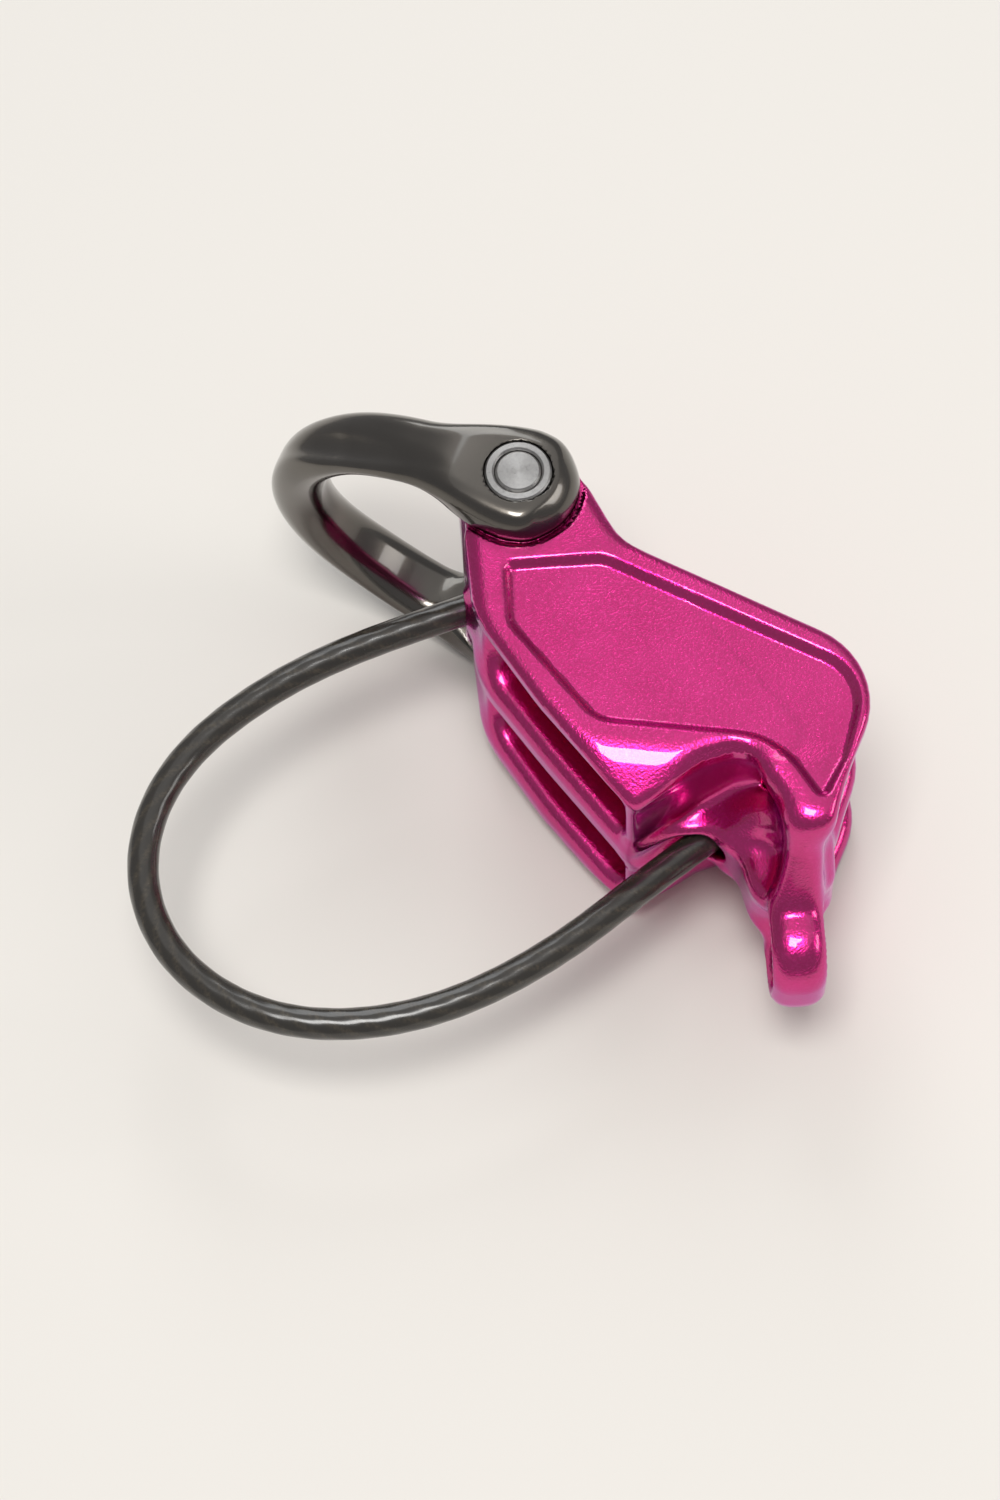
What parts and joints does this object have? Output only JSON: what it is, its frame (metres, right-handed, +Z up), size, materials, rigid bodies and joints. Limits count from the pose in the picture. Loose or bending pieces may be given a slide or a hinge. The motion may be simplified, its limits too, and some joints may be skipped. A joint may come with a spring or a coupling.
{
  "type": "belay device",
  "caption": "Tubular belay device with twin rope slots, a pivoting guide link on a through pin, a wire keeper loop and a release ring.",
  "frame": {"origin": "on the pivot axis, in the plane of the lower rivet face that the device lies on", "axes": "+X from the pivot towards the release ring, +Y from the keeper loop towards the back edge, +Z up along the pivot axis"},
  "size_m": [0.0965, 0.0849, 0.0452],
  "materials": {
    "anodised_body": "satin-gloss magenta anodising",
    "anodised_link": "satin dark grey anodising",
    "stainless": "turned",
    "wire": "galvanised wire",
    "cable_coat": "dark translucent plastic"
  },
  "bodies": {
    "device": {"body": "anodised_body", "keeper_sheath": "cable_coat", "keeper_strand_core": "wire", "keeper_strand_1": "wire", "keeper_strand_2": "wire", "keeper_strand_3": "wire", "keeper_strand_4": "wire", "keeper_strand_5": "wire", "keeper_strand_6": "wire", "keeper_ferrule_pivot_end": "stainless", "keeper_ferrule_hook_end": "stainless"},
    "link": {"pivot_link": "anodised_link", "pivot_pin": "stainless", "pin_collar_upper": "stainless", "pin_collar_lower": "stainless"}
  },
  "joints": [
    {"name": "link_pivot", "type": "hinge", "parent": "device", "child": "link", "pos_m": [0, 0, 0.0226], "axis": [0, 0, 1], "range_deg": [-136, 37]}
  ]
}
